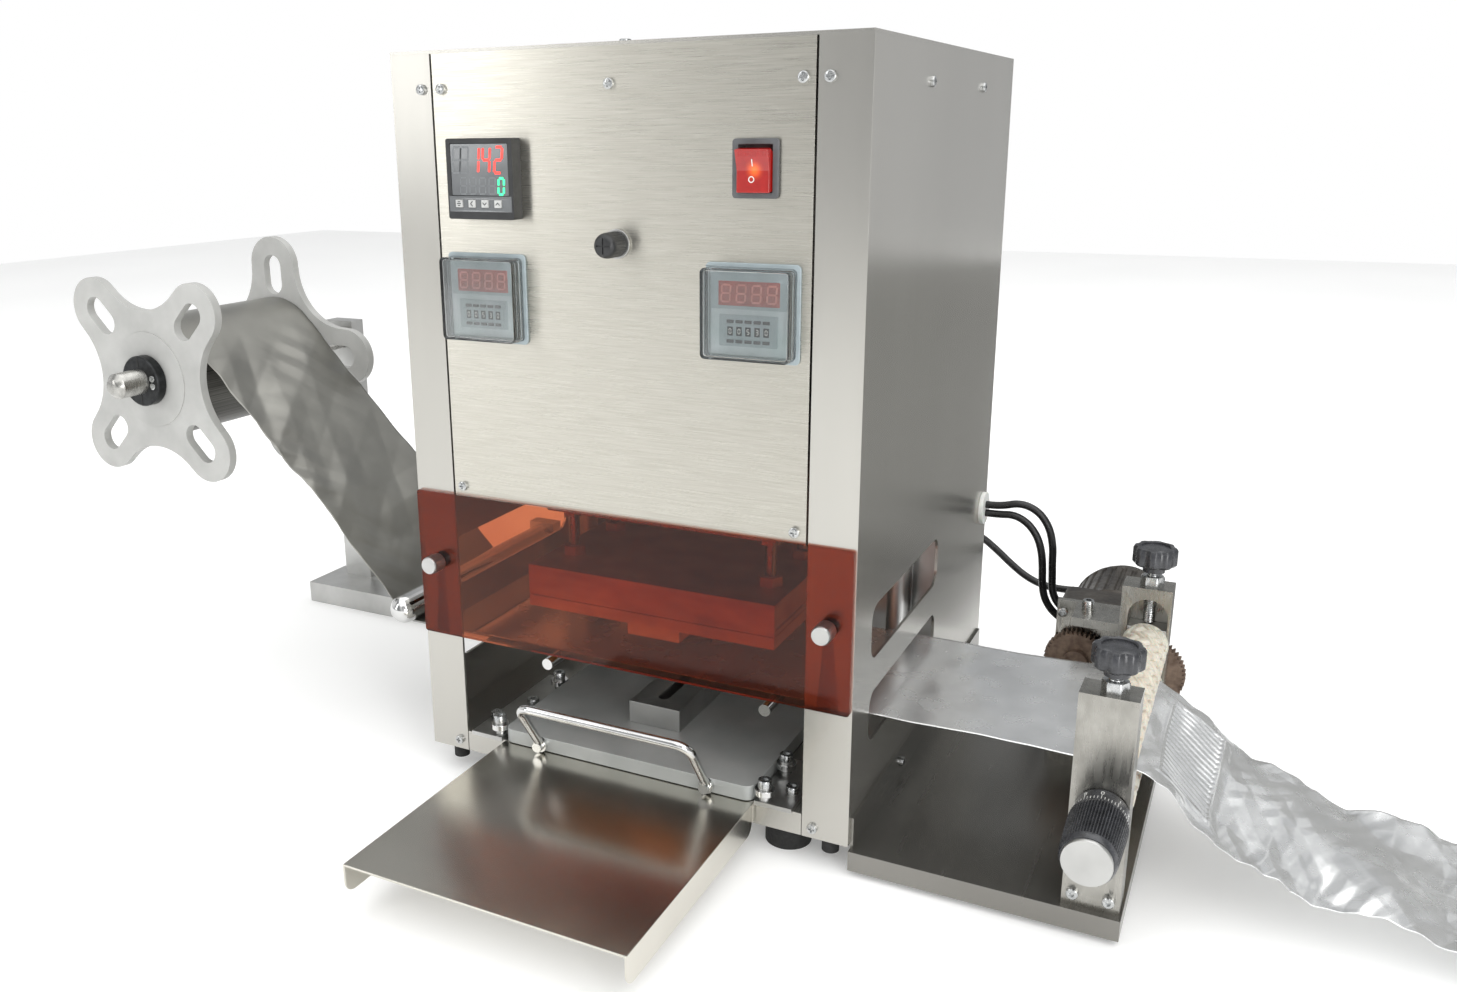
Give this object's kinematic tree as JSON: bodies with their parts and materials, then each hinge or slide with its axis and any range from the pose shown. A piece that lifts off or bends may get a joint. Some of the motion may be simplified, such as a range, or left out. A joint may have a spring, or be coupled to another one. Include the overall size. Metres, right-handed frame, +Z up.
{
  "type": "film sealing press",
  "caption": "Benchtop heat-seal press: film unwinds from a side reel, passes under a heated platen above a pull-out drawer, and leaves through driven nip rollers.",
  "frame": {"origin": "on the bench, under the centre of the cabinet's footprint", "axes": "+X right and -Y towards the operator, +Z up"},
  "size_m": [1.071, 0.5457, 0.4954],
  "materials": {
    "brushed_stainless": "vertical brushed grain",
    "guard_acrylic": "clear tinted sheet",
    "satin_aluminium": "satin machined",
    "bright_steel": "polished",
    "zinc_screws": "zinc plated",
    "black_rubber": "matt",
    "ground_steel": "ground",
    "heater_bronze": "oxidised",
    "black_abs": "fine spark texture",
    "grey_abs": "fine texture",
    "light_key": "satin",
    "clear_cover": "clear",
    "red_lens": "translucent, lit",
    "cast_light_grey": "fine powder coat",
    "foil": "crumpled laminate foil",
    "roll_foil": "matt wound foil",
    "nip_block_aluminium": "milled",
    "cream_silicone": "ribbed silicone",
    "gear_steel": "lightly rusted",
    "black_knob": "fluted phenolic",
    "motor_black": "semi-gloss enamel",
    "white_nylon": "moulded",
    "cable_pvc": "smooth PVC sheath"
  },
  "bodies": {
    "machine": {"base_plate": "brushed_stainless", "side_panel_left": "brushed_stainless", "side_panel_right": "brushed_stainless", "cover": "brushed_stainless", "front_panel": "brushed_stainless", "fasteners": "zinc_screws", "feet": "black_rubber", "guard": "guard_acrylic", "guard_knobs": "satin_aluminium", "apron": "brushed_stainless", "bearing_mounts": "ground_steel", "film_rods": "ground_steel", "press_frame": "satin_aluminium", "press_cylinder": "satin_aluminium", "controller_housing": "black_abs", "timer_housings": "grey_abs", "rocker_bezel": "black_abs", "fuse_holder": "satin_aluminium", "reel_stand": "satin_aluminium", "film_web": "foil", "side_table": "brushed_stainless", "nip_blocks": "nip_block_aluminium", "drive_bracket": "nip_block_aluminium", "gearhead": "satin_aluminium", "drive_motor": "motor_black", "mains_inlet": "black_abs", "air_fitting": "bright_steel", "grommet": "white_nylon", "motor_cable": "cable_pvc", "inner_cable": "cable_pvc", "rear_cable": "cable_pvc"},
    "drawer": {"drawer_plate": "satin_aluminium", "nest_block": "satin_aluminium", "drawer_handle": "bright_steel"},
    "bearing_1": {"guide_bearing_1": "ground_steel"},
    "bearing_2": {"guide_bearing_2": "ground_steel"},
    "bearing_3": {"guide_bearing_3": "ground_steel"},
    "bearing_4": {"guide_bearing_4": "ground_steel"},
    "platen": {"platen_carrier": "ground_steel", "heater_block": "heater_bronze", "sealing_die": "heater_bronze"},
    "rocker": {"rocker_cap": "red_lens"},
    "fuse": {"fuse_cap": "black_abs"},
    "key_set": {"key_set": "light_key"},
    "key_shift": {"key_shift": "light_key"},
    "key_down": {"key_down": "light_key"},
    "key_up": {"key_up": "light_key"},
    "timer_cover_left": {"timer_cover_left": "clear_cover"},
    "timer_cover_right": {"timer_cover_right": "clear_cover"},
    "reel": {"reel_flanges": "cast_light_grey", "film_roll": "roll_foil", "reel_shaft": "ground_steel"},
    "guide_roller": {"guide_roller": "bright_steel"},
    "drive_roller": {"drive_roller": "cream_silicone", "dial_knob": "black_knob", "roller_gear": "gear_steel"},
    "pinion": {"pinion_gear": "gear_steel"},
    "sliders": {"bearing_sliders": "satin_aluminium"},
    "pressure_roller": {"pressure_roller": "cream_silicone"},
    "star_knob_front": {"star_knob_front": "black_knob"},
    "star_knob_rear": {"star_knob_rear": "black_knob"}
  },
  "joints": [
    {"name": "drawer_slide", "type": "slide", "parent": "machine", "child": "drawer", "axis": [0, -1, 0], "range_m": [0, 0.15]},
    {"name": "bearing_1_spin", "type": "hinge", "parent": "machine", "child": "bearing_1", "pos_m": [0.1003, -0.168, 0.0435], "axis": [0, 0, 1], "continuous": true},
    {"name": "bearing_2_spin", "type": "hinge", "parent": "machine", "child": "bearing_2", "pos_m": [0.1003, -0.131, 0.0435], "axis": [0, 0, 1], "continuous": true},
    {"name": "bearing_3_spin", "type": "hinge", "parent": "machine", "child": "bearing_3", "pos_m": [-0.1003, -0.166, 0.0435], "axis": [0, 0, 1], "continuous": true},
    {"name": "bearing_4_spin", "type": "hinge", "parent": "machine", "child": "bearing_4", "pos_m": [-0.1003, -0.087, 0.0435], "axis": [0, 0, 1], "continuous": true},
    {"name": "platen_press", "type": "slide", "parent": "machine", "child": "platen", "axis": [0, 0, -1], "range_m": [0, 0.017]},
    {"name": "rocker_tilt", "type": "hinge", "parent": "machine", "child": "rocker", "pos_m": [0.0914, -0.168, 0.4232], "axis": [1, 0, 0], "range_deg": [-16, 0]},
    {"name": "fuse_cap_turn", "type": "hinge", "parent": "machine", "child": "fuse", "pos_m": [0.0035, -0.175, 0.38], "axis": [0, 1, 0], "range_deg": [0, 90]},
    {"name": "key_set_press", "type": "slide", "parent": "machine", "child": "key_set", "axis": [0, 1, 0], "range_m": [0, 0.0006], "stiffness_N_per_m": 600},
    {"name": "key_shift_press", "type": "slide", "parent": "machine", "child": "key_shift", "axis": [0, 1, 0], "range_m": [0, 0.0006], "stiffness_N_per_m": 600},
    {"name": "key_down_press", "type": "slide", "parent": "machine", "child": "key_down", "axis": [0, 1, 0], "range_m": [0, 0.0006], "stiffness_N_per_m": 600},
    {"name": "key_up_press", "type": "slide", "parent": "machine", "child": "key_up", "axis": [0, 1, 0], "range_m": [0, 0.0006], "stiffness_N_per_m": 600},
    {"name": "timer_cover_left_open", "type": "hinge", "parent": "machine", "child": "timer_cover_left", "pos_m": [-0.09, -0.1717, 0.3696], "axis": [-1, 0, 0], "range_deg": [0, 90]},
    {"name": "timer_cover_right_open", "type": "hinge", "parent": "machine", "child": "timer_cover_right", "pos_m": [0.09, -0.1717, 0.3696], "axis": [-1, 0, 0], "range_deg": [0, 90]},
    {"name": "reel_spin", "type": "hinge", "parent": "machine", "child": "reel", "pos_m": [-0.44, 0, 0.259], "axis": [0, 1, 0], "continuous": true},
    {"name": "guide_roller_spin", "type": "hinge", "parent": "machine", "child": "guide_roller", "pos_m": [-0.2, 0, 0.1045], "axis": [0, 1, 0], "continuous": true},
    {"name": "drive_roller_spin", "type": "hinge", "parent": "machine", "child": "drive_roller", "pos_m": [0.2985, 0, 0.07815], "axis": [0, 1, 0], "continuous": true},
    {"name": "pinion_spin", "type": "hinge", "parent": "machine", "child": "pinion", "pos_m": [0.2525, 0.042, 0.07815], "axis": [0, 1, 0], "continuous": true},
    {"name": "pressure_lift", "type": "slide", "parent": "machine", "child": "sliders", "axis": [0, 0, 1], "range_m": [0, 0.0015]},
    {"name": "pressure_roller_spin", "type": "hinge", "parent": "sliders", "child": "pressure_roller", "pos_m": [0.2985, 0, 0.10865], "axis": [0, 1, 0], "continuous": true},
    {"name": "star_knob_front_turn", "type": "hinge", "parent": "machine", "child": "star_knob_front", "pos_m": [0.2985, -0.1545, 0.16], "axis": [0, 0, 1], "range_deg": [0, 360]},
    {"name": "star_knob_rear_turn", "type": "hinge", "parent": "machine", "child": "star_knob_rear", "pos_m": [0.2985, 0.0265, 0.16], "axis": [0, 0, 1], "range_deg": [0, 360]}
  ],
  "couplings": [
    {"joint": "bearing_1_spin", "follows": "drawer_slide", "rad_per_m": -153.85},
    {"joint": "bearing_2_spin", "follows": "drawer_slide", "rad_per_m": -153.85},
    {"joint": "bearing_3_spin", "follows": "drawer_slide", "rad_per_m": 153.85},
    {"joint": "bearing_4_spin", "follows": "drawer_slide", "rad_per_m": 153.85},
    {"joint": "pinion_spin", "follows": "drive_roller_spin", "ratio": -1.1905},
    {"joint": "pressure_roller_spin", "follows": "drive_roller_spin", "ratio": -1},
    {"joint": "guide_roller_spin", "follows": "drive_roller_spin", "ratio": -1.3915},
    {"joint": "reel_spin", "follows": "drive_roller_spin", "ratio": 0.30729}
  ]
}
